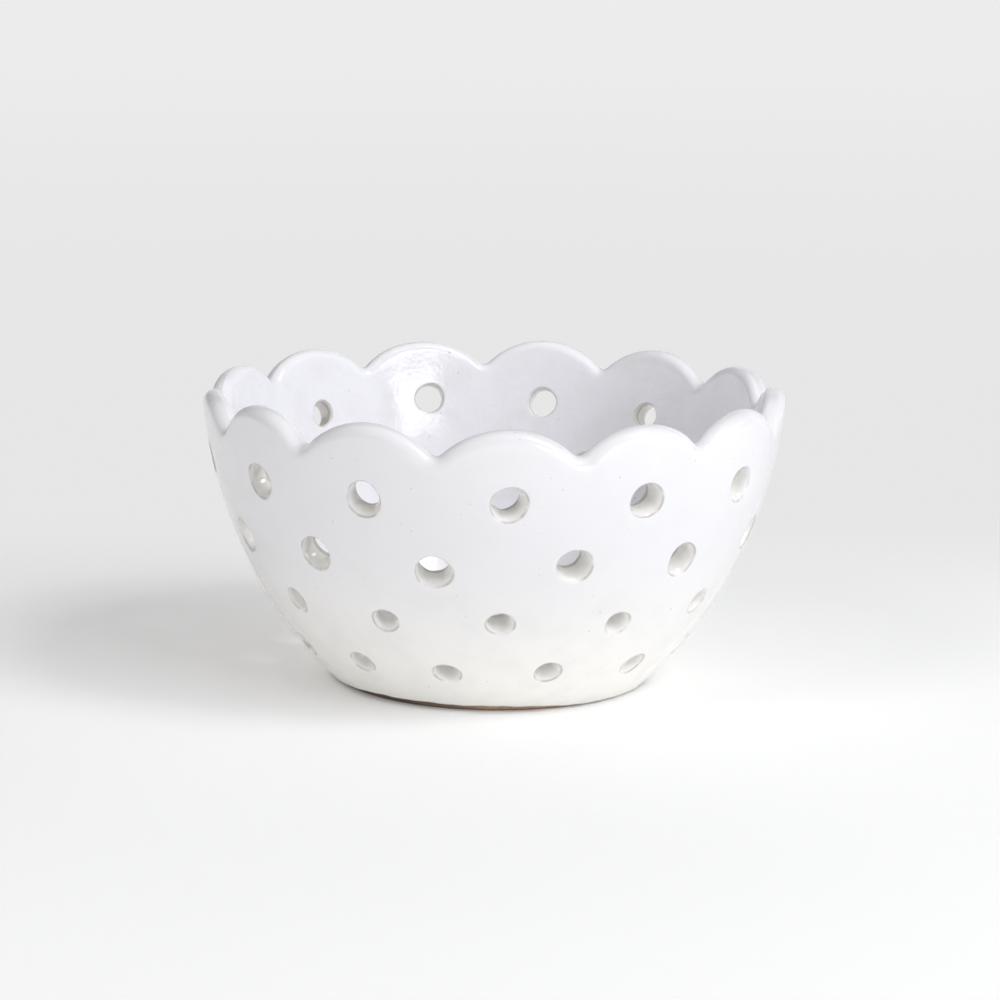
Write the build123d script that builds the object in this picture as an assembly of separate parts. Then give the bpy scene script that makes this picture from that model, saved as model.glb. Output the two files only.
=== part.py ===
from build123d import *
import math
import os

# A berry colander bowl: thrown stoneware with a scalloped rim and rows of punched holes, glazed white
# inside and out, on a foot ring that is left bare where it meets the table.
# Millimetres, +Z up. The origin is on the bowl's axis, on the table, and a lobe of the rim faces -Y.

# Overall sizes
HEIGHT = 78.0              # table to the crest of a lobe
RIM_DIAMETER = 152.0       # outside, at the crest of a lobe
FOOT_DIAMETER = 82.5       # outside, where the curve of the wall would meet the table
WALL_ARC_RADIUS = 116.0    # curve of the outside, seen from the side
WALL = 6.0                 # finished wall, with a coat of glaze on each face
FLOOR = 5.5                # finished floor, with a coat of glaze on each face
FLOOR_ROUND = 8.0          # inside corner between the floor and the wall
GLAZE = 0.4                # one coat of glaze

# Foot ring
FOOT_HEIGHT = 2.5          # table to the clay underside of the floor
FOOT_WIDTH = 5.0           # width of the ring on the table
FOOT_ROUND = 0.5           # sponged lower edges of the ring
BARE_FOOT = 1.3            # height of the strip that the glaze leaves bare

# Scalloped rim
LOBES = 13
SCALLOP_DEPTH = 7.8        # crest of a lobe to the point where two lobes would meet
VALLEY_ROUND = 2.2         # rounding of that point
RIM_ROUND = 2.4            # rounding of the rim's two edges

# Punched holes, glazed inside
WIDE_ROWS = 2              # rows of wide holes, counted down from the rim
WIDE_HOLE = 8.0
NARROW_HOLE = 6.0
RIM_TO_HOLES = 18.8        # crest of a lobe down to the top row
ROW_STEP = 17.45           # row to row, along the outside of the wall
HOLE_LAND = 1.0            # least clay between the lowest row and the floor's round corner
PUNCH_LIFT = 0.95          # how far a hand-punched hole strays up or down the wall
LIFT_BEAT = (3.1, 4.1)     # turns of that stray, in radians, from hole to hole and from row to row
PUNCH_SHIFT = 0.75         # how far a hand-punched hole strays round the wall
SHIFT_BEAT = (2.4, 5.8)    # turns of that stray, as above

# Drain holes in the floor: one in the middle and a ring of others
DRAIN_HOLE = 6.0
DRAIN_RING_DIAMETER = 40.0
DRAINS_IN_RING = 6

# Curve of the wall: a circle through the foot and the rim, with its centre in the plane of the section
FOOT_RADIUS = FOOT_DIAMETER / 2
RIM_RADIUS = RIM_DIAMETER / 2
CHORD = math.hypot(RIM_RADIUS - FOOT_RADIUS, HEIGHT)
CHORD_TO_CENTRE = math.sqrt(WALL_ARC_RADIUS**2 - CHORD**2 / 4)
CENTRE_R = (FOOT_RADIUS + RIM_RADIUS) / 2 - CHORD_TO_CENTRE * HEIGHT / CHORD
CENTRE_Z = HEIGHT / 2 + CHORD_TO_CENTRE * (RIM_RADIUS - FOOT_RADIUS) / CHORD


def wall_point(angle, depth):
    """Radius and height of a wall point, at an angle about the curve's centre and a depth in the wall."""
    reach = WALL_ARC_RADIUS - depth
    return CENTRE_R + reach * math.cos(angle), CENTRE_Z + reach * math.sin(angle)


def wall_angle(height, depth):
    """Angle about the curve's centre of the wall point at a height."""
    return math.asin((height - CENTRE_Z) / (WALL_ARC_RADIUS - depth))


def wall_arc(depth, low, high):
    """The wall's curve at a depth, from one height up to another."""
    start = wall_angle(low, depth)
    end = wall_angle(high, depth)
    return ThreePointArc(*[wall_point(a, depth) for a in (start, (start + end) / 2, end)])


# Floor and foot ring
FLOOR_TOP = FOOT_HEIGHT - GLAZE + FLOOR
FLOOR_MIDDLE = FLOOR_TOP - FLOOR / 2
FOOT_INNER_RADIUS = wall_point(wall_angle(0, GLAZE), GLAZE)[0] - FOOT_WIDTH

# Rim: each lobe is the top of a round bar that lies along a radius of the bowl
PITCH = 2 * math.pi / LOBES
HALF_CHORD = (RIM_RADIUS - WALL / 2) * math.sin(PITCH / 2)
LOBE_RADIUS = (HALF_CHORD**2 + SCALLOP_DEPTH**2) / (2 * SCALLOP_DEPTH)
RIM_EDGE = min(RIM_ROUND, 0.45 * WALL)

# Rows: as many as fit between the top row and the floor's round corner
ROW_ANGLE = ROW_STEP / WALL_ARC_RADIUS
TOP_ROW = wall_angle(HEIGHT - RIM_TO_HOLES, 0)
INNER_REACH = WALL_ARC_RADIUS - WALL
CORNER = math.asin((FLOOR_TOP + FLOOR_ROUND - CENTRE_Z) / (INNER_REACH - FLOOR_ROUND))
LOWEST_ROW = CORNER + (NARROW_HOLE / 2 + GLAZE + PUNCH_LIFT + HOLE_LAND) / INNER_REACH
ROWS = 1 + int((TOP_ROW - LOWEST_ROW) / ROW_ANGLE)

UPWARD = (Align.CENTER, Align.CENTER, Align.MIN)


def blank(inset, bottom):
    """The bowl before its rim and holes are cut, with every face drawn in by the inset."""
    top = HEIGHT + SCALLOP_DEPTH
    floor = FLOOR_TOP - inset
    outside = wall_arc(inset, bottom, top)
    inside = wall_arc(WALL - inset, floor, top)
    corner = inside @ 0
    middle = Polyline(corner, (0, floor), (0, bottom), outside @ 0)
    section = make_face([outside, Line(outside @ 1, inside @ 1), inside, middle])
    section = fillet(section.vertices().sort_by_distance(corner)[0], FLOOR_ROUND + inset)
    return revolve(Plane.XZ * section, Axis.Z)


def notch(inset):
    """What is cut away between the crests of two lobes."""
    near = RIM_RADIUS - 3 * WALL
    far = RIM_RADIUS + WALL
    spread = math.tan(PITCH / 2)
    plan = [(near * spread, -near), (far * spread, -far), (-far * spread, -far), (-near * spread, -near)]
    base = Plane.XY.offset(HEIGHT - 2 * SCALLOP_DEPTH)
    wedge = extrude(base * make_face(Polyline(plan, close=True)), 4 * SCALLOP_DEPTH)
    bar = Pos(0, 0, HEIGHT - LOBE_RADIUS) * Rot(90, 0, 0) * Cylinder(LOBE_RADIUS - inset, 3 * far)
    gap = wedge - [Rot(0, 0, side * math.degrees(PITCH / 2)) * bar for side in (-1, 1)]
    keel = gap.edges().filter_by(GeomType.ELLIPSE).filter_by_position(Axis.X, -GLAZE, GLAZE)
    return fillet(keel, VALLEY_ROUND + inset)


def scallop(bowl, inset):
    """The bowl with its rim cut to lobes and the rim's edges rounded."""
    gap = notch(inset)
    bowl = bowl - [Rot(0, 0, (i + 0.5) * math.degrees(PITCH)) * gap for i in range(LOBES)]
    rim = []
    for edge in bowl.edges().filter_by_position(Axis.Z, HEIGHT - 2 * SCALLOP_DEPTH, HEIGHT):
        start, end = [math.hypot((edge @ t).X, (edge @ t).Y) for t in (0, 1)]
        if abs(start - end) < WALL / 4:
            rim.append(edge)
    return fillet(rim, RIM_EDGE - inset)


def punches(inset):
    """The punch that makes each hole, wider by the inset all round."""
    tools = []
    for row in range(ROWS):
        diameter = WIDE_HOLE if row < WIDE_ROWS else NARROW_HOLE
        punch = Cylinder(diameter / 2 + inset, 3 * WALL)
        for hole in range(-(LOBES // 2), LOBES - LOBES // 2):
            lift = PUNCH_LIFT * math.sin(LIFT_BEAT[0] * hole + LIFT_BEAT[1] * row)
            shift = PUNCH_SHIFT * math.sin(SHIFT_BEAT[0] * hole + SHIFT_BEAT[1] * row)
            slope = TOP_ROW - row * ROW_ANGLE + lift / WALL_ARC_RADIUS
            radius, height = wall_point(slope, WALL / 2)
            turn = (hole - 0.5 * (row % 2)) * PITCH + shift / radius
            tilt = Rot(0, 90 - math.degrees(slope), 0)
            tools.append(Rot(0, 0, math.degrees(turn) - 90) * Pos(radius, 0, height) * tilt * punch)
    drain = Cylinder(DRAIN_HOLE / 2 + inset, 2 * FLOOR_TOP)
    tools.append(drain)
    tools += [place * drain for place in PolarLocations(DRAIN_RING_DIAMETER / 2, DRAINS_IN_RING)]
    return tools


def vessel(inset, bottom):
    """The whole bowl above a height, with every face drawn in by the inset."""
    return scallop(blank(inset, bottom), inset) - punches(inset)


def ring():
    """The foot ring, with its lower edges sponged round."""
    outside = wall_arc(GLAZE, 0, FOOT_HEIGHT)
    inner_face = Polyline(outside @ 1, (FOOT_INNER_RADIUS, FOOT_HEIGHT), (FOOT_INNER_RADIUS, 0), outside @ 0)
    section = make_face([outside, inner_face])
    section = fillet(section.vertices().group_by(Axis.Y)[0], FOOT_ROUND)
    return revolve(Plane.XZ * section, Axis.Z)


def lined_space():
    """Everything inside the middle of the wall and above the middle of the floor."""
    middle = wall_arc(WALL / 2, FLOOR_MIDDLE, HEIGHT + SCALLOP_DEPTH)
    edge = Polyline(middle @ 1, (0, HEIGHT + SCALLOP_DEPTH), (0, FLOOR_MIDDLE), middle @ 0)
    return revolve(Plane.XZ * make_face([middle, edge]), Axis.Z)


clay_body = vessel(GLAZE, FOOT_HEIGHT)
foot_ring = ring()

# The glaze is what the finished bowl has over its clay, above the bare strip of the foot
recess = Cylinder(FOOT_INNER_RADIUS, FOOT_HEIGHT - GLAZE, align=UPWARD)
glaze = vessel(0, BARE_FOOT) - [recess, clay_body, foot_ring]

# The liner coat meets the others in the middle of the rim and halfway through each hole
inner_glaze = glaze & lined_space()
base_glaze, outer_glaze = (glaze - lined_space()).solids().sort_by(SortBy.VOLUME)

os.makedirs("parts", exist_ok=True)
nodes = {
    "clay_body": clay_body,
    "foot_ring": foot_ring,
    "outer_glaze": outer_glaze,
    "inner_glaze": inner_glaze,
    "base_glaze": base_glaze,
}
for name, shape in nodes.items():
    export_step(shape, f"parts/{name}.step")
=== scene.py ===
"""Looks of the berry colander bowl: hand-cut scalloped rim, punched holes with soft mouths, glossy white
glaze over stoneware, and a bare foot. Lengths are in millimetres until a mesh is made, then in metres.
Angles round the bowl start at -Y and grow towards +X."""

import math

import bpy
import numpy as np
from mathutils import Euler, Matrix, Vector, geometry, noise


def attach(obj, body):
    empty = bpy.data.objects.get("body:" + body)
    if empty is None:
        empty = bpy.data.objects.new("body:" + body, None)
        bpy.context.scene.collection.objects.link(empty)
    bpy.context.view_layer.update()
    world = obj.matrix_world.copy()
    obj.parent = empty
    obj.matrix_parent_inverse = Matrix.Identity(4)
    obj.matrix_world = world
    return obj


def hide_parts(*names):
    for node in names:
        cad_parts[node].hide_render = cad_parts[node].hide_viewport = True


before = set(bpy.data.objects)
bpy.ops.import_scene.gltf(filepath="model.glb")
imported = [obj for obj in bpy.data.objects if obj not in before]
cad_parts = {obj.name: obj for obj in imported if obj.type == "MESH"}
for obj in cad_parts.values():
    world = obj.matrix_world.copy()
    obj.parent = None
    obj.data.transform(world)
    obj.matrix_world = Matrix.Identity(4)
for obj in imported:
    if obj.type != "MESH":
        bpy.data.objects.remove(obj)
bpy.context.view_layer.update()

MM = 0.001

# Sizes shared with the solids
HEIGHT = 78.0
RIM_RADIUS = 76.0
FOOT_RADIUS = 41.25
ARC = 116.0                # curve of the outside, seen from the side
WALL = 6.0
GLAZE = 0.4
FLOOR = 5.5
FLOOR_ROUND = 8.0
FOOT_HEIGHT = 2.5
FOOT_WIDTH = 5.0
FOOT_ROUND = 0.5
LOBES = 13
SCALLOP_DEPTH = 7.8
VALLEY_ROUND = 2.2
ROWS = 4
WIDE_ROWS = 2              # the upper ones
WIDE_HOLE = 8.0
NARROW_HOLE = 6.0
RIM_TO_HOLES = 18.8        # height from the top row to the lobes' tops
ROW_STEP = 17.45           # between rows, along the wall
PUNCH_LIFT = 0.95          # how far a hole strays up or down the wall
LIFT_BEAT = (3.1, 4.1)     # how that turns from hole to hole, and from row to row
PUNCH_SHIFT = 0.75         # how far it strays round the wall
SHIFT_BEAT = (2.4, 5.8)
DRAIN_HOLE = 6.0
DRAIN_RING_RADIUS = 20.0
DRAINS_IN_RING = 6

# The rim as it was cut by hand. A valley goes by the lobe before it
OUTER_EDGE = 3.5           # rounding of the rim's edge, outside
INNER_EDGE = 2.3           # and inside
VALLEY_REACH = 7.0         # how far a valley's own depth spreads along the rim
LOBE_REACH = 11.0          # and a lobe's
VALLEY_DROP = {-3: 1.2, -2: 0.7, -1: 0.2, 1: -0.4, 4: 0.4, 8: -0.4}     # extra depth
VALLEY_SLIDE = {-2: -1.2, -1: -0.2, 1: -0.8, 3: 0.5, 6: -0.5}           # shift round the rim
LOBE_DROP = {-6: 0.4, -5: 0.4, -4: 0.9, -3: 1.9}                        # lobes cut low

# The holes as they were punched by hand and glazed
ABOVE_HOLES = math.radians(3.5)    # band of wall that goes with the top row, above its middle
OUTER_MOUTH = (1.0, 3.2)           # how far a hole's mouth opens outside, beyond the punch, and how deep
INNER_MOUTH = (0.45, 1.2)          # and inside
MOUTH_LINE = math.radians(16)      # how far round a mouth's turn the glaze is thinnest
LINE_WIDTH = math.radians(12.6)    # and how far it stays thin there
MOUTH_STRAY = (0.030, 0.018)       # how far a mouth is out of round, as shares of its radius
STRAY_BEAT = (1.7, 2.9)            # how that turns from hole to hole
WIDE_POOL = 0.25                   # glaze gathered in a wide hole
NARROW_POOL = 0.5                  # and in a narrow one
BORE_LUMPS = (1.7, 0.14)           # length and height of its lumps
SLANT_UP = 0.8                     # how much higher a hole's inner end is than straight in
SLANT_ASIDE = (-0.5, -0.85)        # how far it is aside: everywhere, and added at the front
# By row and place in the row: shift round the bowl and lift, beyond the even beat of the others
HOLE_STRAY = {(0, -6): (-1.35, 0.8), (0, 6): (-1.6, 0.3), (0, -5): (-1.0, -0.8), (0, 5): (0.9, -1.1),
              (0, 0): (0.45, 0.5), (1, 0): (-0.6, -0.5), (1, -1): (-0.5, -0.5), (2, -1): (-0.4, 0.7),
              (3, 1): (-1.0, 0.2)}
HOLE_SHRINK = {(0, -5): 0.6, (0, 5): 0.6}      # holes with a smaller radius
HOLE_SHADE_LINE = {(3, -2): math.radians(45)}        # holes where the line round the mouth is wider, as painted shade where the hole is seen edge-on
RING_CROWDING = 1.5                # how the mesh crowds towards a hole

# The wall, the glaze's lower edge, the floor and the clay
WALL_WAVES = ((31.0, 0.16), (12.0, 0.05), (4.8, 0.026))    # lengths and heights of its unevenness
LIP = 0.45                 # rounding of the glaze's lower edge
BARE_FOOT = 0.85           # mean height of the bare strip
LEAST_BARE = 0.15          # and its least
DIPS = (0.8, 2, 0.9)       # height of the edge's dips, their count round the foot and where they start
RAGGED = ((0.10, 7, 0.6), (0.08, 17, 2.1), (0.06, 41, 0.0))    # and the same of its small waves
SKIRT_ROWS = 4             # rows of the mesh between the edge and the holes
PLATE_GRAIN = 3.0          # spacing of the mesh in the floor's flats
BORDER_CLEAR = 1.5         # how far it keeps from a flat's border
DRAIN_CLEAR = 1.2          # and from the drains
DRAIN_SIDES = 8            # points round a drain, for each row on the side of a hole's patch
CORNER_ROWS = 4            # rows in the floor's round corner, beyond the steps of a turn
SAME_SPOT = 1e-6           # distance at which two points of a flat are one
DRAIN_SHARE = 0.97         # a triangle with its middle inside this share of a drain's mouth is in the drain
CORE_GAP = 0.03            # between the coats and the clay in the wall
FOOT_GAP = 0.02            # and in the foot
FOOT_SIDES = 360
FOOT_ROWS = 7              # points up the foot's outside
FOOT_BENDS = (5, 4)        # steps of the turn at its outer and its inner edge
FOOT_WAVES = ((3.0, 0.07), (0.9, 0.03))        # lengths and heights of the foot's roughness
SPONGED_IN = 0.8           # how far in the foot's outer edge is sponged, as a share of its height
WELD_CELLS = 1000          # points in the same cell, of this many to a millimetre, are one
WELD_SHIFT = 0.137         # keeps round figures off the borders of the cells

# Which coat a face of the skin belongs to
OUTER, SKIRT, INNER, BASE, SEAT = range(5)

# Marks of a point: how thin the glaze is there, with painted shade added in the line round a hole's mouth,
# and how far into a hole it is, which sets the painted shade there
PLAIN = (0.0, 0.0)
LIP_MARKS = (0.9, 0.0)
ABOVE_LIP_MARKS = (0.25, 0.0)
MOUTH_SHADE = 0.5                  # the second mark at the end of a hole's outer mouth
TUNNEL_SHADES = (0.5, 0.55)        # in its tunnel
WIDE_SHADE = 1.0                   # where its inner mouth starts, for a wide hole
NARROW_SHADE = 0.8                 # and for a narrow one
DRAIN_SHADE = 1.0                  # and in the drains

# Colours of the glaze and the clay
WHITE = (0.80, 0.794, 0.822, 1)
# The same glaze made lighter and cooler inside: painted light on the inner walls
INNER_LIT_WHITE = (0.885, 0.878, 0.92, 1)
# Creamier glaze low down, and lighter than the white there: painted light from below
LIT_CREAM = (0.94, 0.926, 0.88, 1)
CLOUDED = (0.765, 0.755, 0.755, 1)
BORE_WHITE = (0.835, 0.82, 0.79, 1)
# Painted shade deep in a hole
BORE_PAINTED_SHADE = (0.60, 0.58, 0.54, 1)
# Thin glaze at the edges, with painted shade in the line round a hole's mouth
THIN_GLAZE_AND_SHADE = (0.42, 0.37, 0.35, 1)
IRON = (0.33, 0.28, 0.26, 1)
CLAY = (0.40, 0.27, 0.20, 1)
TOASTED = (0.52, 0.35, 0.20, 1)
ROSY = (0.45, 0.31, 0.26, 1)
# Painted shadow on the left of the foot
PAINTED_SHADOW = (0.07, 0.06, 0.055, 1)
GRIT = (0.16, 0.10, 0.08, 1)
# Darker towards the foot's lower edge
LOW_EDGE_CLAY = (0.15, 0.09, 0.06, 1)

# Finish, lengths in metres. A ramp is where a change starts and ends, and a strength is the most it does
OUTER_CREAM = 1.0                  # how creamy, and lighter as painted light, the glaze gets, outside
INNER_CREAM = 0.2                  # and inside
CREAM_HEIGHT = 0.052               # up to what height
CREAM_CLOUDS = (0.6, 0.65)         # how much of it comes and goes with the clouds, and how much stays
PATCH_RAMP = (0.42, 0.75)
PATCH_STRENGTH = 0.3
BORE_RAMP = (0.0, 0.5)             # by the second mark, to the white of a hole
BORE_SHADE_RAMP = (0.55, 1.0)       # and on to its painted shade
THIN_AND_SHADE_RAMP = (0.1, 1.0)             # by the first mark
BREAK_RAMP = (0.32, 0.62)          # by noise, so that the line round a mouth is broken
THIN_AND_SHADE_STRENGTH = 0.8
SPECKLESS = 0.5                    # share of the cells without a speck
SPECK_SIZES = (0.05, 0.025)        # how far the specks' radius varies, and its least, in cells
SPECK_FADE = 1.5                   # where a speck has faded out, in its radius
SPECK_STRENGTH = 0.6
ROUGHNESS = (0.05, 0.04)           # how far the glaze's roughness varies, and its least
OUTER_PEEL = 0.00001               # depth of its orange peel, outside
INNER_PEEL = 0.00008               # and inside
GLAZE_IOR = 1.6
TOAST_RAMP = (0.38, 0.62)
ROSY_RAMP = (0.45, 0.65)
ROSY_STRENGTH = 0.6
PAINTED_SHADOW_RAMP = (0.004, -0.024)       # from right to left: painted shadow on the foot's left
PAINTED_SHADOW_STRENGTH = 0.85
GRIT_RAMP = (0.56, 0.75)
GRIT_DEPTH = 0.0002
GRIT_STRENGTH = 0.5
LOW_EDGE_RAMP = (0.0007, 0.0002)       # downwards
LOW_EDGE_STRENGTH = 0.55
CLAY_ROUGHNESS = 0.85

# Scales of the noise in the finish
CLOUD_SCALE = 45.0
PATCH_SCALE = 110.0
BREAK_SCALE = 240.0
SPECK_SCALE = 360.0
GLOSS_SCALE = 150.0
PEEL_SCALE = 700.0
TOAST_SCALE = 70.0
ROSY_SCALE = 35.0
GRIT_SCALE = 1500.0

# Stage, light and camera, in metres
TABLE_HALF = 9.0
TABLE_GREYS = (0.86, 0.90)         # at the bowl and before it: lighter before it, as painted light on the table
TABLE_RAMP = (-0.05, -0.25)        # forwards
TABLE_ROUGHNESS = 0.9
TABLE_SHEEN = 0.1
TABLE_GLOW = 0.1                   # it is lit through from below
PAPER_GREYS = (0.795, 0.84)        # of the backdrop, near and far
PAPER_RAMP = (0.4, 2.5)            # away from the bowl
BACKDROP_BEHIND = (0.06, 0.22)     # where the table turns into the backdrop, backwards
BACKDROP_ROUND = (0.5, 1.5)        # and away from the bowl
LAMP_DISTANCE = 1.5
LAMP_AIM = (0, 0, 0.04)
COOL = (0.972, 0.984, 1.0)
WARM = (1.0, 0.986, 0.968)
# Name, azimuth from -Y towards +X, elevation, width, height, power, colour, and if the glaze mirrors it
LAMPS = (
    ("key", 60, 50, 0.45, 0.45, 5.8, COOL, True),
    ("side", 45, 34, 0.9, 0.7, 7.3, COOL, False),
    ("right", 80, 20, 1.5, 0.8, 3.0, COOL, True),
    ("front", 34, 11, 0.62, 0.58, 4.6, COOL, True),
    ("front_left", -50, 42, 0.45, 0.45, 2.9, WARM, False),
    ("front_left_low", -42, 10, 1.2, 0.4, 3.8, WARM, False),
    ("left", -90, 10, 1.4, 0.4, 1.9, WARM, False),
    ("back", 180, 9, 2.2, 0.45, 15.0, WARM, False),
)
# Ramps in the world go by a part of the unit vector of a direction
SKY_GREYS = (0.01, 0.68)           # of the world, at the sides and overhead
SKY_RAMP = (0.6, 1.0)              # upwards
BEHIND_LOW = 0.4                   # brightness that the glaze mirrors behind the bowl, low down
BEHIND_RIGHT = 0.75                # and to the right
BEHIND_RAMP = (0.1, 0.7)           # backwards
LOW_RAMP = (0.25, 0.0)             # downwards
RIGHT_RAMP = (-0.45, 0.0)          # from left to right
RIGHT_LOW_RAMP = (0.75, 0.35)      # and downwards
CAMERA_AZIMUTH = math.radians(-2.973)
CAMERA_ELEVATION = math.radians(11.211)
CAMERA_ROLL = math.radians(0.9)
CAMERA_AIM = (1.971, 0, 46.411)    # in millimetres
CAMERA_DISTANCE = 0.9179
CAMERA_CLIP = (0.01, 50.0)
SENSOR_WIDTH = 36.0
LENS = 125.955

# Sizes that follow from the others
chord = math.hypot(RIM_RADIUS - FOOT_RADIUS, HEIGHT)
chord_to_centre = math.sqrt(ARC**2 - chord**2 / 4)
CENTRE_R = (FOOT_RADIUS + RIM_RADIUS) / 2 - chord_to_centre * HEIGHT / chord
CENTRE_Z = HEIGHT / 2 + chord_to_centre * (RIM_RADIUS - FOOT_RADIUS) / chord
UNDERSIDE = FOOT_HEIGHT - GLAZE
FLOOR_TOP = UNDERSIDE + FLOOR
FLOOR_MIDDLE = FLOOR_TOP - FLOOR / 2
PITCH = 2 * math.pi / LOBES
MIDDLE_RADIUS = RIM_RADIUS - WALL / 2
HALF_CHORD = MIDDLE_RADIUS * math.sin(PITCH / 2)
LOBE_RADIUS = (HALF_CHORD**2 + SCALLOP_DEPTH**2) / (2 * SCALLOP_DEPTH)
CORNER = math.asin((FLOOR_TOP + FLOOR_ROUND - CENTRE_Z) / (ARC - WALL - FLOOR_ROUND))
CORNER_RADIUS = CENTRE_R + (ARC - WALL - FLOOR_ROUND) * math.cos(CORNER)
ROW_ANGLE = ROW_STEP / ARC


def slope_at(height, depth):
    """Angle about the wall curve's centre of the wall point at a height and a depth."""
    return np.arcsin((height - CENTRE_Z) / (ARC - depth))


def radius_at(slope, depth):
    """Radius round the bowl of the wall point at a slope and a depth."""
    return CENTRE_R + (ARC - depth) * np.cos(slope)


def turned(radius, angle, height):
    """Points at a radius and height, round the bowl."""
    radius, angle, height = np.broadcast_arrays(radius, angle, height)
    return np.stack([radius * np.sin(angle), -radius * np.cos(angle), height], -1)


def on_wall(angle, slope, depth):
    """Points of the wall at an angle round the bowl, a slope and a depth."""
    return turned(radius_at(slope, depth), angle, CENTRE_Z + (ARC - depth) * np.sin(slope))


TOP_ROW = float(slope_at(HEIGHT - RIM_TO_HOLES, 0))
BARE_RADIUS = float(radius_at(slope_at(0, GLAZE), GLAZE))
FOOT_INNER_RADIUS = BARE_RADIUS - FOOT_WIDTH


def bend(steps):
    """Angles of a quarter turn."""
    return np.linspace(0, math.pi / 2, steps + 1)


def waves_at(points, waves):
    """Height of some waves of noise, each of a length and a height, at each point."""
    return np.array([sum(size * noise.noise(Vector(p) / length) for length, size in waves) for p in points])


class Skin:
    """The glazed surface, gathered from bands of quads that share their edges."""

    def __init__(self):
        self.points, self.faces, self.coats, self.marks = [], [], [], []
        self.count = 0

    def add(self, points, faces, coats, marks):
        self.points.append(points)
        self.faces.append(faces + self.count)
        self.coats.append(coats)
        self.marks.append(marks)
        self.count += len(points)

    def band(self, rows, coats, marks):
        """Rows of points round a loop, with a coat for each gap between rows and marks for each row."""
        grid = np.array(rows)
        tall, around = grid.shape[:2]
        index = np.arange(tall * around).reshape(tall, around)
        beside = np.roll(index, -1, axis=1)
        faces = np.stack([index[:-1], beside[:-1], beside[1:], index[1:]], -1).reshape(-1, 4)
        self.add(grid.reshape(-1, 3), faces, np.repeat(coats, around), np.repeat(marks, around, axis=0))

    def weld(self):
        """Joins the points that bands share."""
        points = np.concatenate(self.points)
        cells = np.round(points * WELD_CELLS + WELD_SHIFT)
        _, first, place = np.unique(cells, axis=0, return_index=True, return_inverse=True)
        self.points = points[first]
        self.faces = place.reshape(-1)[np.concatenate(self.faces)]
        self.coats = np.concatenate(self.coats)
        self.marks = np.concatenate(self.marks)[first]

    def normals(self):
        """Direction out of the glaze at each point."""
        faces = self.faces[self.coats != SEAT]
        corners = self.points[faces]
        across = np.cross(corners[:, 2] - corners[:, 0], corners[:, 3] - corners[:, 1])
        total = np.zeros_like(self.points)
        for corner in range(4):
            np.add.at(total, faces[:, corner], across)
        return total / np.linalg.norm(total, axis=1, keepdims=True)

    def sway(self):
        """The slight unevenness of a thrown wall under a thick glaze, and the lumps in the holes."""
        lift = waves_at(self.points, WALL_WAVES) + self.marks[:, 1] * waves_at(self.points, [BORE_LUMPS])
        self.points = self.points + lift[:, None] * self.normals()


def rim_line(columns):
    """Angle and height of the rim's edge, and the way out of the clay there, at each column."""
    lean = math.asin(HALF_CHORD / (LOBE_RADIUS + VALLEY_ROUND))
    valley_height = HEIGHT - LOBE_RADIUS + (LOBE_RADIUS + VALLEY_ROUND) * math.cos(lean)
    half = columns // 2
    # Two thirds of the columns are on the lobe, and the others in the valley
    on_lobe = half * 2 // 3
    line = []
    for column in range(LOBES * columns):
        lobe = (column + half) // columns
        step = column - lobe * columns
        side = -1 if step < 0 else 1
        if abs(step) <= on_lobe:
            tilt = lean * abs(step) / on_lobe
            across = LOBE_RADIUS * math.sin(tilt)
            height = HEIGHT - LOBE_RADIUS * (1 - math.cos(tilt))
        else:
            tilt = lean * (half - abs(step)) / (half - on_lobe)
            across = HALF_CHORD - VALLEY_ROUND * math.sin(tilt)
            height = valley_height - VALLEY_ROUND * math.cos(tilt)
        angle = lobe * PITCH + side * math.asin(across / MIDDLE_RADIUS)
        line.append((angle, height, side * math.sin(tilt), math.cos(tilt)))
    line = np.array(line)

    # Each change by hand: amounts, spread, how far after the lobe, the value that it changes, and the unit
    angle_value, height_value = 0, 1
    changes = (
        (VALLEY_DROP, VALLEY_REACH, 0.5, height_value, -1),
        (VALLEY_SLIDE, VALLEY_REACH, 0.5, angle_value, 1 / MIDDLE_RADIUS),
        (LOBE_DROP, LOBE_REACH, 0, height_value, -1),
    )
    for amounts, spread, after, value, unit in changes:
        for lobe, amount in amounts.items():
            away = (line[:, 0] - (lobe + after) * PITCH + math.pi) % (2 * math.pi) - math.pi
            line[:, value] += unit * amount * np.exp(-((away * MIDDLE_RADIUS / spread) ** 2))
    return line.T


def add_rim(skin, columns, rings, bends):
    """From the top of the rows of holes, over the rim's edge and down again inside."""
    angle, height, out_x, out_z = rim_line(columns)
    foot_angle = np.arange(LOBES * columns) * PITCH / columns

    def edge(inset, depth):
        return angle - inset * out_x / MIDDLE_RADIUS, height - inset * out_z, depth

    def climb(share, depth, edge_round):
        foot_height = CENTRE_Z + (ARC - depth) * math.sin(TOP_ROW + ABOVE_HOLES)
        top_angle, top_height, _ = edge(edge_round, depth)
        turn = foot_angle + share * (top_angle - foot_angle)
        return turn, foot_height + share * (top_height - foot_height), depth

    def roll(edge_round):
        return [(edge_round * (1 - math.sin(b)), edge_round * (1 - math.cos(b))) for b in bend(bends)]

    shares = np.linspace(0, 1, rings + 1)[:-1]
    places = [climb(s, 0.0, OUTER_EDGE) for s in shares]
    places += [edge(inset, depth) for inset, depth in roll(OUTER_EDGE)]
    half = len(places)
    places.append(edge(0.0, (OUTER_EDGE + WALL - INNER_EDGE) / 2))
    places += [edge(inset, WALL - depth) for inset, depth in roll(INNER_EDGE)[::-1]]
    places += [climb(s, WALL, INNER_EDGE) for s in shares[::-1]]
    rows = [on_wall(turn, slope_at(level, depth), depth) for turn, level, depth in places]
    skin.band(rows, [OUTER if r < half else INNER for r in range(len(rows) - 1)], [PLAIN] * len(rows))


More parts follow.
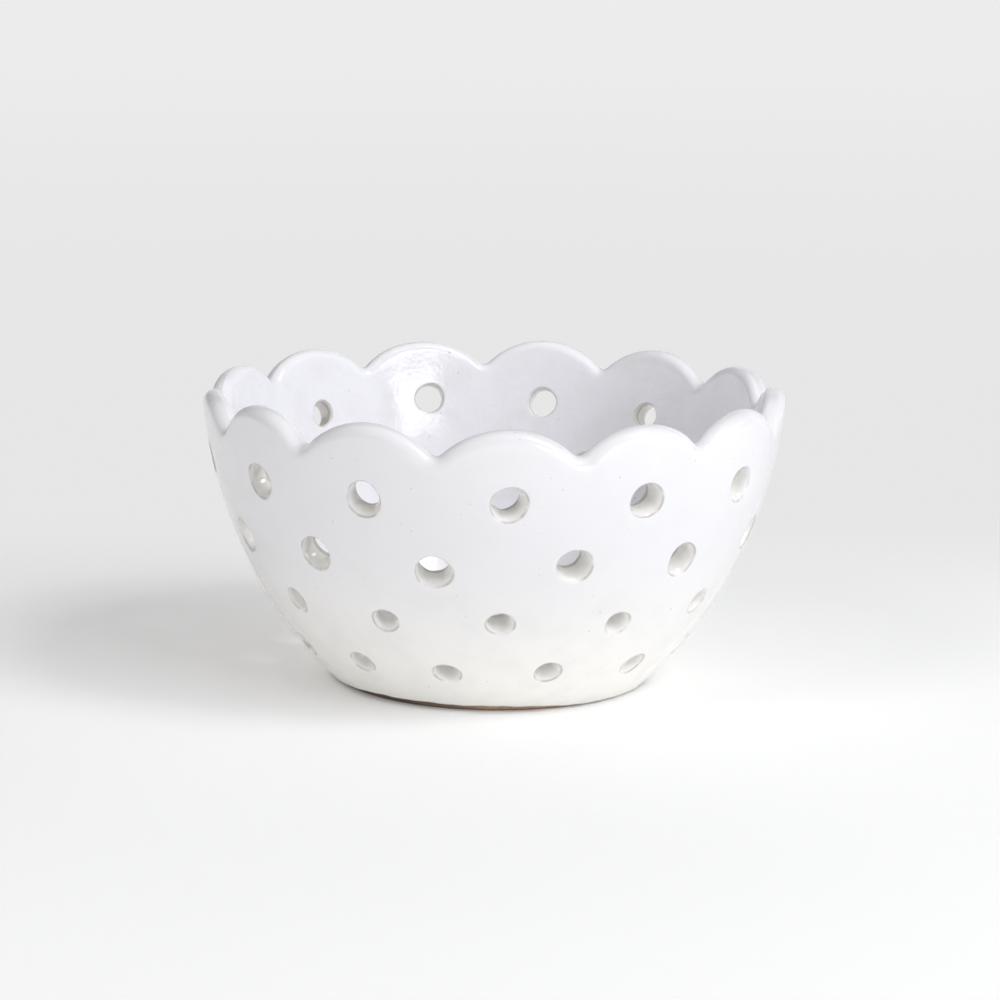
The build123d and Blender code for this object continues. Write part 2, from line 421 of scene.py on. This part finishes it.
def mouth(roll, bends, shade, line_width=LINE_WIDTH):
    """Steps into a hole: radius added to the hole, depth, and marks of the glaze on the turn, for its thinned
    line with painted shade and for painted shade.
    """
    wide, deep = roll
    steps = []
    for b in bend(bends):
        darkened = math.exp(-(((b - MOUTH_LINE) / line_width) ** 2))
        steps.append((wide * (1 - math.sin(b)), deep * (1 - math.cos(b)), (darkened, shade * math.sin(b))))
    return steps


def out_of_round(around, hole, row):
    """Share of a hole's radius at each angle round it."""
    two, three = MOUTH_STRAY
    two_beat, three_beat = STRAY_BEAT
    oval = two * np.sin(2 * around + two_beat * hole + row)
    return 1 + oval + three * np.sin(3 * around + three_beat * hole + 2 * row)


def add_hole(skin, row, hole, columns, sides, rings, bends):
    """One punched hole and the patch of wall round it, outside and inside."""
    lift = PUNCH_LIFT * math.sin(LIFT_BEAT[0] * hole + LIFT_BEAT[1] * row)
    shift = PUNCH_SHIFT * math.sin(SHIFT_BEAT[0] * hole + SHIFT_BEAT[1] * row)
    more_shift, more_lift = HOLE_STRAY.get((row, hole), (0.0, 0.0))
    shift, lift = shift + more_shift, lift + more_lift
    slope = TOP_ROW - row * ROW_ANGLE + lift / ARC
    turn = (hole - 0.5 * (row % 2)) * PITCH + shift / radius_at(slope, WALL / 2)
    slant = SLANT_ASIDE[0] + SLANT_ASIDE[1] * math.cos(turn)
    in_wide_row = row < WIDE_ROWS
    size = WIDE_HOLE if in_wide_row else NARROW_HOLE
    pool = WIDE_POOL if in_wide_row else NARROW_POOL
    shade = WIDE_SHADE if in_wide_row else NARROW_SHADE
    bore = size / 2 - pool - HOLE_SHRINK.get((row, hole), 0.0)
    outer_mouth, inner_mouth = ((wide + pool, deep * size / WIDE_HOLE)
                                for wide, deep in (OUTER_MOUTH, INNER_MOUTH))

    # The patch's border, anticlockwise from its lower left corner as seen from outside
    middle = TOP_ROW - row * ROW_ANGLE
    low = middle - ROW_ANGLE / 2 if row < ROWS - 1 else CORNER
    high = middle + ROW_ANGLE / 2 if row > 0 else middle + ABOVE_HOLES
    start = hole * columns - columns // 2 * (1 + row % 2)
    right = (start + np.arange(columns + 1)) * PITCH / columns
    up = np.linspace(low, high, sides + 1)
    border_turn = np.concatenate([right[:-1], [right[-1]] * sides, right[:0:-1], [right[0]] * sides])
    border_slope = np.concatenate([[low] * columns, up[:-1], [high] * columns, up[:0:-1]])

    # Angles round the hole, so that each corner of the border has a point straight in from it
    corners = np.array([0, columns, columns + sides, 2 * columns + sides])
    reach = radius_at(slope, 0)
    facing = np.arctan2(ARC * (border_slope - slope)[corners], reach * (border_turn - turn)[corners])
    facing = np.append(facing, facing[0] + 2 * math.pi)
    stops = np.append(corners, 2 * (columns + sides))
    around = np.interp(np.arange(stops[-1]), stops, facing)
    shape = out_of_round(around, hole, row)

    def place(x, y, depth):
        return on_wall(turn + x / radius_at(slope, depth), slope + y / (ARC - depth), depth)

    def ring(radius, depth):
        x = slant * depth / WALL + radius * shape * np.cos(around)
        y = SLANT_UP * depth / WALL + radius * shape * np.sin(around)
        return x, y

    def loop(radius, depth):
        return place(*ring(radius, depth), depth)

    def patch(share, depth, roll):
        ring_x, ring_y = ring(bore + roll[0], depth)
        border_x = radius_at(slope, depth) * (border_turn - turn)
        border_y = (ARC - depth) * (border_slope - slope)
        return place(border_x + share * (ring_x - border_x), border_y + share * (ring_y - border_y), depth)

    def spread(count):
        return 1 - (1 - np.arange(count) / count) ** RING_CROWDING

    # The inside is flatter, and has a row less in the patch and on the turn
    outside = mouth(outer_mouth, bends, MOUTH_SHADE, HOLE_SHADE_LINE.get((row, hole), LINE_WIDTH))
    inside = mouth(inner_mouth, bends - 1, shade)[::-1]
    tunnel = np.linspace(outer_mouth[1], WALL - inner_mouth[1], len(TUNNEL_SHADES) + 2)[1:-1]
    rows = [patch(s, 0.0, outer_mouth) for s in spread(rings)]
    rows += [loop(bore + add, depth) for add, depth, _ in outside]
    half = len(rows)
    rows += [loop(bore, depth) for depth in tunnel]
    rows += [loop(bore + add, WALL - depth) for add, depth, _ in inside]
    rows += [patch(s, WALL, inner_mouth) for s in spread(rings - 1)[::-1]]
    marks = [PLAIN] * rings + [m for _, _, m in outside] + [(0.0, s) for s in TUNNEL_SHADES]
    marks += [m for _, _, m in inside] + [PLAIN] * (rings - 1)
    skin.band(rows, [OUTER if r < half else INNER for r in range(len(rows) - 1)], marks)


def glaze_line(angle):
    """Height of the glaze's lower edge, dipped by hand: lower in two places and a little ragged."""
    deep, count, start = DIPS
    dips = deep * np.cos(count * angle + start)
    ragged = sum(size * np.sin(beat * angle + begin) for size, beat, begin in RAGGED)
    return np.maximum(BARE_FOOT + dips + ragged, LEAST_BARE)


def add_skirt(skin, columns, bends):
    """The glaze's lower edge and the wall below the holes, outside."""
    angle = np.arange(LOBES * columns) * PITCH / columns
    line = glaze_line(angle)
    lips = [(line + LIP * (1 - math.sin(b)), LIP * (1 - math.cos(b))) for b in bend(bends)[::-1]]
    rows = [on_wall(angle, slope_at(level, depth), depth) for level, depth in lips]
    coats = [SKIRT] * len(rows)
    marks = [LIP_MARKS] * (len(rows) - 1) + [ABOVE_LIP_MARKS, PLAIN]
    low = np.linspace(slope_at(FOOT_HEIGHT, 0), CORNER, SKIRT_ROWS)
    rows += [on_wall(angle, np.full_like(angle, slope), 0.0) for slope in low]
    coats += [OUTER] * (len(low) - 1)
    marks += [PLAIN] * (len(low) - 1)
    skin.band(rows, coats, marks)


def drain_places():
    """Middles of the drains: one in the floor's middle and a ring round it."""
    yield 0.0, 0.0
    for i in range(DRAINS_IN_RING):
        angle = 2 * math.pi * i / DRAINS_IN_RING
        yield DRAIN_RING_RADIUS * math.cos(angle), DRAIN_RING_RADIUS * math.sin(angle)


def add_plate(skin, height, border, loops, coat):
    """A flat of the floor, up to a border and round the drains."""
    wide = DRAIN_HOLE / 2 + INNER_MOUTH[0]
    outside = np.hypot(*border.T).max()
    spots = np.concatenate([border] + loops)
    ties = []
    first = 0
    for ring in [border] + loops:
        ties += [(first + i, first + (i + 1) % len(ring)) for i in range(len(ring))]
        first += len(ring)
    across = np.arange(-outside, outside, PLATE_GRAIN)
    inside = np.array([(x, y) for x in across for y in across if math.hypot(x, y) < outside - BORDER_CLEAR])
    for x, y in drain_places():
        inside = inside[np.hypot(inside[:, 0] - x, inside[:, 1] - y) > wide + DRAIN_CLEAR]
    spots = np.concatenate([spots, inside])
    whole_hull = 0
    found, _, triangles, known, _, _ = geometry.delaunay_2d_cdt(
        [Vector(s) for s in spots], ties, [], whole_hull, SAME_SPOT)
    flat = np.array([spots[k[0]] if k else v for k, v in zip(known, found)])
    triangles = np.array(triangles)
    middle = flat[triangles].mean(axis=1)
    keep = np.ones(len(triangles), bool)
    for x, y in drain_places():
        keep &= np.hypot(middle[:, 0] - x, middle[:, 1] - y) > wide * DRAIN_SHARE
    triangles = triangles[keep]

    # The faces look up inside the bowl, and down under the floor
    one, two, three = (flat[triangles[:, i]] for i in range(3))
    turn = (two - one)[:, 0] * (three - one)[:, 1] - (two - one)[:, 1] * (three - one)[:, 0]
    wrong = (turn > 0) != (coat == INNER)
    triangles[wrong] = triangles[wrong][:, ::-1]
    points = np.column_stack([flat, np.full(len(flat), height)])
    faces = triangles[:, [0, 1, 2, 2]]
    skin.add(points, faces, np.full(len(faces), coat), np.zeros((len(points), 2)))


def add_floor(skin, columns, sides, bends):
    """The round corner inside, the floor's two flats and the drains through it."""
    angle = np.arange(LOBES * columns) * PITCH / columns
    sweep = np.linspace(CORNER, -math.pi / 2, bends + CORNER_ROWS)
    rows = [turned(CORNER_RADIUS + FLOOR_ROUND * math.cos(s), angle,
                   FLOOR_TOP + FLOOR_ROUND + FLOOR_ROUND * math.sin(s)) for s in sweep]
    skin.band(rows, [INNER] * (len(rows) - 1), [PLAIN] * len(rows))
    corner_border = rows[-1][:, :2]
    under_border = turned(FOOT_INNER_RADIUS, angle, UNDERSIDE)[:, :2]

    around = np.linspace(0, 2 * math.pi, DRAIN_SIDES * sides, endpoint=False)
    turns = mouth(INNER_MOUTH, bends, DRAIN_SHADE)
    bore = DRAIN_HOLE / 2
    levels = [(bore + add, FLOOR_TOP - depth) for add, depth, _ in turns]
    half = len(levels)
    levels.append((bore, FLOOR_MIDDLE))
    levels += [(bore + add, UNDERSIDE + depth) for add, depth, _ in turns[::-1]]
    turn_marks = [m for _, _, m in turns]
    marks = turn_marks + [(0.0, DRAIN_SHADE)] + turn_marks[::-1]
    loops = []
    for number, (x, y) in enumerate(drain_places()):
        shape = out_of_round(around, number, ROWS)
        rows = [np.column_stack([x + radius * shape * np.cos(around), y + radius * shape * np.sin(around),
                                 np.full(len(around), height)]) for radius, height in levels]
        skin.band(rows, [INNER if r < half else BASE for r in range(len(rows) - 1)], marks)
        loops.append(rows[0][:, :2])
    add_plate(skin, FLOOR_TOP, corner_border, loops, INNER)
    add_plate(skin, UNDERSIDE, under_border, loops, BASE)

    # Where the foot ring is luted on, under the floor
    seat_inside = turned(FOOT_INNER_RADIUS, angle, UNDERSIDE)
    seat_outside = on_wall(angle, slope_at(FOOT_HEIGHT, 0) + 0 * angle, 0.0)
    skin.band([seat_inside, seat_outside], [SEAT], [PLAIN, PLAIN])


def make_skin(columns, sides, rings, bends):
    """The whole skin, with a number of columns to a lobe, and rows on a patch's side, in it and on a turn."""
    skin = Skin()
    # The rim has fewer rows up its sides than a patch has, and one more round its edges
    add_rim(skin, columns, rings - 2, bends + 1)
    for row in range(ROWS):
        for hole in range(-(LOBES // 2), LOBES - LOBES // 2):
            add_hole(skin, row, hole, columns, sides, rings, bends)
    add_skirt(skin, columns, bends)
    add_floor(skin, columns, sides, bends)
    skin.weld()
    skin.sway()
    return skin


def make_piece(name, points, faces, normals, marks, material, node):
    """A mesh in the shared frame that stands for a node."""
    mesh = bpy.data.meshes.new(name)
    mesh.from_pydata((points * MM).tolist(), [], [tuple(dict.fromkeys(f)) for f in faces.tolist()])
    mesh.shade_smooth()
    for mark, values in zip(("wear_and_shade", "depth"), marks.T):
        mesh.attributes.new(mark, "FLOAT", "POINT").data.foreach_set("value", values.astype(np.float32))
    if normals is not None:
        mesh.normals_split_custom_set_from_vertices(normals.tolist())
    mesh.materials.append(material)
    piece = bpy.data.objects.new(name, mesh)
    bpy.context.scene.collection.objects.link(piece)
    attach(piece, "root")
    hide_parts(node)


def open_edges(faces):
    """Edges that only one face has, in that face's direction."""
    pairs = np.concatenate([faces[:, [i, (i + 1) % 4]] for i in range(4)])
    pairs = pairs[pairs[:, 0] != pairs[:, 1]]
    span = faces.max() + 1
    there = pairs[:, 0] * span + pairs[:, 1]
    back = pairs[:, 1] * span + pairs[:, 0]
    return pairs[~np.isin(there, back)]


def make_coat(name, skin, normals, coats, material, node):
    """One coat of glaze: the skin's own faces, the same again a coat deeper, and the edges between."""
    faces = skin.faces[np.isin(skin.coats, coats)]
    used, place = np.unique(faces, return_inverse=True)
    faces = place.reshape(-1, 4)
    count = len(used)
    front = skin.points[used]
    out = normals[used]
    rim = open_edges(faces)
    sides = np.column_stack([rim[:, 1], rim[:, 0], rim[:, 0] + count, rim[:, 1] + count])
    points = np.concatenate([front, front - GLAZE * out])
    every = np.concatenate([faces, faces[:, ::-1] + count, sides])
    marks = np.tile(skin.marks[used], (2, 1))
    make_piece(name, points, every, np.concatenate([out, -out]), marks, material, node)


def new_material(name):
    """A material, its node tree and its shader."""
    material = bpy.data.materials.new(name)
    material.use_nodes = True
    return material, material.node_tree, material.node_tree.nodes["Principled BSDF"]


def add_node(tree, kind, links=(), **values):
    """A shader node with its own values, and (source, input) pairs that are links or plain numbers."""
    node = tree.nodes.new(kind)
    for key, value in values.items():
        setattr(node, key, value)
    for source, target in links:
        if isinstance(source, bpy.types.NodeSocket):
            tree.links.new(source, node.inputs[target])
        else:
            node.inputs[target].default_value = source
    return node


def math_node(tree, operation, one, two=None, three=None, clamp=False):
    """The result of an operation on links or plain numbers."""
    links = [(value, i) for i, value in enumerate((one, two, three)) if value is not None]
    return add_node(tree, "ShaderNodeMath", links, operation=operation, use_clamp=clamp).outputs[0]


def mix_colours(tree, share, one, two):
    """One colour and a share of another. The numbers are the mix node's own sockets for colours."""
    mix = add_node(tree, "ShaderNodeMix", [(share, 0), (one, 6), (two, 7)], data_type="RGBA")
    return mix.outputs[2]


def noise_node(tree, where, scale, detail=3.0):
    """Noise from 0 to 1."""
    made = add_node(tree, "ShaderNodeTexNoise", [(where, "Vector"), (scale, "Scale"), (detail, "Detail")])
    return made.outputs["Fac"]


def ramp(tree, value, low, high):
    """0 at the low value and 1 at the high one, smoothly."""
    links = [(value, "Value"), (low, "From Min"), (high, "From Max")]
    return add_node(tree, "ShaderNodeMapRange", links, interpolation_type="SMOOTHSTEP").outputs["Result"]


def grey(level):
    """An opaque grey."""
    return level, level, level, 1


def glaze_material(name, white, cream, peel_depth):
    """Opaque white glaze: creamier, and lighter as painted light, low down; thinned over the edges; painted
    shade into the holes; a few iron specks.
    """
    material, tree, shader = new_material(name)
    where = add_node(tree, "ShaderNodeTexCoord").outputs["Object"]
    height = add_node(tree, "ShaderNodeSeparateXYZ", [(where, 0)]).outputs["Z"]
    wear_and_shade = add_node(tree, "ShaderNodeAttribute", attribute_name="wear_and_shade").outputs["Fac"]
    deep = add_node(tree, "ShaderNodeAttribute", attribute_name="depth").outputs["Fac"]

    # Clouds of cream towards the foot, lighter there as painted light from below, and faint patches
    # everywhere
    cloud = math_node(tree, "MULTIPLY_ADD", noise_node(tree, where, CLOUD_SCALE), *CREAM_CLOUDS, clamp=True)
    low = math_node(tree, "MULTIPLY", ramp(tree, height, CREAM_HEIGHT, 0.0), cloud)
    colour = mix_colours(tree, math_node(tree, "MULTIPLY", low, cream), white, LIT_CREAM)
    patch = ramp(tree, noise_node(tree, where, PATCH_SCALE), *PATCH_RAMP)
    colour = mix_colours(tree, math_node(tree, "MULTIPLY", patch, PATCH_STRENGTH), colour, CLOUDED)

    # Painted shade deepening into a hole, and a broken line round its mouth of thin glaze with painted shade
    colour = mix_colours(tree, ramp(tree, deep, *BORE_RAMP), colour, BORE_WHITE)
    colour = mix_colours(tree, ramp(tree, deep, *BORE_SHADE_RAMP), colour, BORE_PAINTED_SHADE)
    broken = ramp(tree, noise_node(tree, where, BREAK_SCALE, detail=4.0), *BREAK_RAMP)
    thinned_and_shaded = math_node(tree, "MULTIPLY", ramp(tree, wear_and_shade, *THIN_AND_SHADE_RAMP), broken)
    colour = mix_colours(tree, math_node(tree, "MULTIPLY", thinned_and_shaded, THIN_AND_SHADE_STRENGTH), colour, THIN_GLAZE_AND_SHADE)

    # Iron specks, in some of the cells
    dots = add_node(tree, "ShaderNodeTexVoronoi", [(where, "Vector"), (SPECK_SCALE, "Scale")])
    chosen = add_node(tree, "ShaderNodeSeparateColor", [(dots.outputs["Color"], 0)])
    few = math_node(tree, "GREATER_THAN", chosen.outputs[0], SPECKLESS)
    size = math_node(tree, "MULTIPLY_ADD", chosen.outputs[1], *SPECK_SIZES)
    dot = ramp(tree, dots.outputs["Distance"], math_node(tree, "MULTIPLY", size, SPECK_FADE), size)
    speck = math_node(tree, "MULTIPLY", math_node(tree, "MULTIPLY", dot, few), chosen.outputs[2])
    colour = mix_colours(tree, math_node(tree, "MULTIPLY", speck, SPECK_STRENGTH), colour, IRON)
    tree.links.new(colour, shader.inputs["Base Color"])

    # Gloss, slightly uneven, over the finest orange peel
    gloss = math_node(tree, "MULTIPLY_ADD", noise_node(tree, where, GLOSS_SCALE), *ROUGHNESS)
    tree.links.new(gloss, shader.inputs["Roughness"])
    shader.inputs["IOR"].default_value = GLAZE_IOR
    peel = noise_node(tree, where, PEEL_SCALE, detail=2.0)
    bump = add_node(tree, "ShaderNodeBump", [(1.0, "Strength"), (peel_depth, "Distance"), (peel, "Height")])
    tree.links.new(bump.outputs["Normal"], shader.inputs["Normal"])
    return material


def clay_material():
    """Bare stoneware, toasted in patches, with painted shadow on the left, darker towards the foot's lower
    edge.
    """
    material, tree, shader = new_material("bare_stoneware")
    where = add_node(tree, "ShaderNodeTexCoord").outputs["Object"]
    place = add_node(tree, "ShaderNodeSeparateXYZ", [(where, 0)])
    patch = ramp(tree, noise_node(tree, where, TOAST_SCALE, detail=4.0), *TOAST_RAMP)
    colour = mix_colours(tree, patch, CLAY, TOASTED)
    rosy = ramp(tree, noise_node(tree, where, ROSY_SCALE), *ROSY_RAMP)
    colour = mix_colours(tree, math_node(tree, "MULTIPLY", rosy, ROSY_STRENGTH), colour, ROSY)
    # Painted shadow on the left of the foot
    painted_shadow = ramp(tree, place.outputs["X"], *PAINTED_SHADOW_RAMP)
    colour = mix_colours(tree, math_node(tree, "MULTIPLY", painted_shadow, PAINTED_SHADOW_STRENGTH), colour, PAINTED_SHADOW)
    grain = noise_node(tree, where, GRIT_SCALE, detail=5.0)
    colour = mix_colours(tree, ramp(tree, grain, *GRIT_RAMP), colour, GRIT)
    # Darker towards the foot's lower edge
    darkened = ramp(tree, place.outputs["Z"], *LOW_EDGE_RAMP)
    colour = mix_colours(tree, math_node(tree, "MULTIPLY", darkened, LOW_EDGE_STRENGTH), colour, LOW_EDGE_CLAY)
    tree.links.new(colour, shader.inputs["Base Color"])
    shader.inputs["Roughness"].default_value = CLAY_ROUGHNESS
    links = [(GRIT_STRENGTH, "Strength"), (GRIT_DEPTH, "Distance"), (grain, "Height")]
    bump = add_node(tree, "ShaderNodeBump", links)
    tree.links.new(bump.outputs["Normal"], shader.inputs["Normal"])
    return material


def make_bowl(clay):
    """The three coats, and the clay under them from a coarser skin."""
    glaze = glaze_material("white_glaze", WHITE, OUTER_CREAM, OUTER_PEEL)
    # Inside, a lighter and cooler copy of the glaze: painted light on the inner walls
    inner_glaze = glaze_material("inner_lit_white_glaze", INNER_LIT_WHITE, INNER_CREAM, INNER_PEEL)
    skin = make_skin(columns=24, sides=8, rings=6, bends=5)
    normals = skin.normals()
    make_coat("outer_coat", skin, normals, (OUTER, SKIRT), glaze, "outer_glaze")
    make_coat("inner_coat", skin, normals, (INNER,), inner_glaze, "inner_glaze")
    make_coat("base_coat", skin, normals, (BASE,), glaze, "base_glaze")

    core = make_skin(columns=12, sides=6, rings=4, bends=3)
    faces = core.faces[core.coats != SKIRT]
    used, place = np.unique(faces, return_inverse=True)
    points = (core.points - (GLAZE + CORE_GAP) * core.normals())[used]
    faces = place.reshape(-1, 4)
    make_piece("clay_core", points, faces, None, core.marks[used], clay, "clay_body")


def make_foot(clay):
    """The foot ring: its outside carries on the curve of the wall, and its lower edges are sponged round."""
    around = np.linspace(0, 2 * math.pi, FOOT_SIDES, endpoint=False)
    depth = GLAZE + FOOT_GAP
    outer_bends, inner_bends = FOOT_BENDS
    heights = np.linspace(FOOT_HEIGHT, FOOT_ROUND, FOOT_ROWS)
    section = [(radius_at(slope_at(z, depth), depth), z) for z in heights]
    section += [(BARE_RADIUS - FOOT_ROUND * math.sin(b) * SPONGED_IN, FOOT_ROUND * (1 - math.sin(b)))
                for b in bend(outer_bends)[1:]]
    section += [(FOOT_INNER_RADIUS + FOOT_ROUND * (1 - math.sin(b)), FOOT_ROUND * (1 - math.cos(b)))
                for b in bend(inner_bends)]
    section.append((FOOT_INNER_RADIUS, FOOT_HEIGHT))
    rows = []
    for radius, height in section[::-1]:
        rough = waves_at(turned(radius, around, height), FOOT_WAVES)
        rows.append(turned(radius + rough, around, height))
    skin = Skin()
    skin.band(rows + rows[:1], [OUTER] * len(rows), [PLAIN] * (len(rows) + 1))
    skin.weld()
    make_piece("bare_foot", skin.points, skin.faces, None, skin.marks, clay, "foot_ring")


def make_stage():
    """A pale floor that fades into an even backdrop far behind the bowl."""
    half = TABLE_HALF
    mesh = bpy.data.meshes.new("floor")
    corners = [(-half, -half, 0), (half, -half, 0), (half, half, 0), (-half, half, 0)]
    mesh.from_pydata(corners, [], [(0, 1, 2, 3)])
    material, tree, shader = new_material("floor")
    where = add_node(tree, "ShaderNodeTexCoord").outputs["Object"]
    away = add_node(tree, "ShaderNodeVectorMath", [(where, 0)], operation="LENGTH").outputs["Value"]
    depth = add_node(tree, "ShaderNodeSeparateXYZ", [(where, 0)]).outputs["Y"]
    at_bowl, before_bowl = (grey(level) for level in TABLE_GREYS)
    # Lighter before the bowl: painted light on the table
    colour = mix_colours(tree, ramp(tree, depth, *TABLE_RAMP), at_bowl, before_bowl)
    tree.links.new(colour, shader.inputs["Base Color"])
    shader.inputs["Roughness"].default_value = TABLE_ROUGHNESS
    shader.inputs["Specular IOR Level"].default_value = TABLE_SHEEN
    shader.inputs["Emission Color"].default_value = grey(1)
    shader.inputs["Emission Strength"].default_value = TABLE_GLOW

    # The backdrop is for the eye and for mirrors alone, so it lights nothing
    near_paper, far_paper = (grey(level) for level in PAPER_GREYS)
    paper = mix_colours(tree, ramp(tree, away, *PAPER_RAMP), near_paper, far_paper)
    backdrop = add_node(tree, "ShaderNodeEmission", [(paper, "Color")])
    ray = add_node(tree, "ShaderNodeLightPath")
    seen = math_node(tree, "ADD", ray.outputs["Is Camera Ray"], ray.outputs["Is Glossy Ray"])
    seen = math_node(tree, "ADD", seen, ray.outputs["Is Transmission Ray"], clamp=True)
    behind = ramp(tree, depth, *BACKDROP_BEHIND)
    far = math_node(tree, "MAXIMUM", behind, ramp(tree, away, *BACKDROP_ROUND))
    share = math_node(tree, "MULTIPLY", seen, far)
    links = [(share, 0), (shader.outputs[0], 1), (backdrop.outputs[0], 2)]
    mix = add_node(tree, "ShaderNodeMixShader", links)
    tree.links.new(mix.outputs[0], tree.nodes["Material Output"].inputs["Surface"])
    mesh.materials.append(material)
    floor = bpy.data.objects.new("floor", mesh)
    bpy.context.scene.collection.objects.link(floor)


def make_lamp(name, azimuth, elevation, width, height, power, colour, mirrored):
    """A soft box aimed at the bowl, that the glaze mirrors or not."""
    lamp = bpy.data.lights.new(name, "AREA")
    lamp.shape = "RECTANGLE"
    lamp.size = width
    lamp.size_y = height
    lamp.energy = power
    lamp.color = colour
    item = bpy.data.objects.new(name, lamp)
    a, e = math.radians(azimuth), math.radians(elevation)
    away = Vector((math.sin(a) * math.cos(e), -math.cos(a) * math.cos(e), math.sin(e)))
    item.location = Vector(LAMP_AIM) + LAMP_DISTANCE * away
    item.visible_glossy = mirrored
    item.rotation_euler = away.to_track_quat("Z", "Y").to_euler()
    bpy.context.scene.collection.objects.link(item)


def make_world():
    """A dark room with a pale ceiling, and pale paper behind the bowl that only the glaze mirrors."""
    world = bpy.data.worlds.new("studio")
    world.use_nodes = True
    tree = world.node_tree
    facing = add_node(tree, "ShaderNodeTexCoord").outputs["Generated"]
    facing = add_node(tree, "ShaderNodeSeparateXYZ", [(facing, 0)]).outputs
    sides, overhead = (grey(level) for level in SKY_GREYS)
    colour = mix_colours(tree, ramp(tree, facing["Z"], *SKY_RAMP), sides, overhead)
    mirrored = add_node(tree, "ShaderNodeLightPath").outputs["Is Glossy Ray"]
    low = math_node(tree, "MULTIPLY", ramp(tree, facing["Z"], *LOW_RAMP), BEHIND_LOW)
    below = ramp(tree, facing["Z"], *RIGHT_LOW_RAMP)
    right = math_node(tree, "MULTIPLY", ramp(tree, facing["X"], *RIGHT_RAMP), below)
    behind = math_node(tree, "MAXIMUM", low, math_node(tree, "MULTIPLY", right, BEHIND_RIGHT))
    behind = math_node(tree, "MULTIPLY", behind, ramp(tree, facing["Y"], *BEHIND_RAMP))
    behind = math_node(tree, "MULTIPLY", behind, mirrored)
    colour = mix_colours(tree, behind, colour, grey(1))
    tree.links.new(colour, tree.nodes["Background"].inputs["Color"])
    bpy.context.scene.world = world


def make_camera():
    """The photograph's view, with the small roll of its camera."""
    turn = Matrix.Rotation(CAMERA_AZIMUTH, 3, "Z")
    back = Vector((0, -math.cos(CAMERA_ELEVATION), math.sin(CAMERA_ELEVATION)))
    data = bpy.data.cameras.new("camera")
    data.sensor_width = SENSOR_WIDTH
    data.lens = LENS
    data.clip_start, data.clip_end = CAMERA_CLIP
    camera = bpy.data.objects.new("camera", data)
    camera.location = turn @ (Vector(CAMERA_AIM) * MM + CAMERA_DISTANCE * back)
    tilt = Euler((math.pi / 2 - CAMERA_ELEVATION, 0, CAMERA_AZIMUTH)).to_matrix()
    camera.rotation_euler = (tilt @ Matrix.Rotation(CAMERA_ROLL, 3, "Z")).to_euler()
    bpy.context.scene.collection.objects.link(camera)
    bpy.context.scene.camera = camera


stoneware = clay_material()
make_bowl(stoneware)
make_foot(stoneware)
make_stage()
for lamp_values in LAMPS:
    make_lamp(*lamp_values)
make_world()
make_camera()
bpy.context.scene.view_settings.view_transform = "Standard"
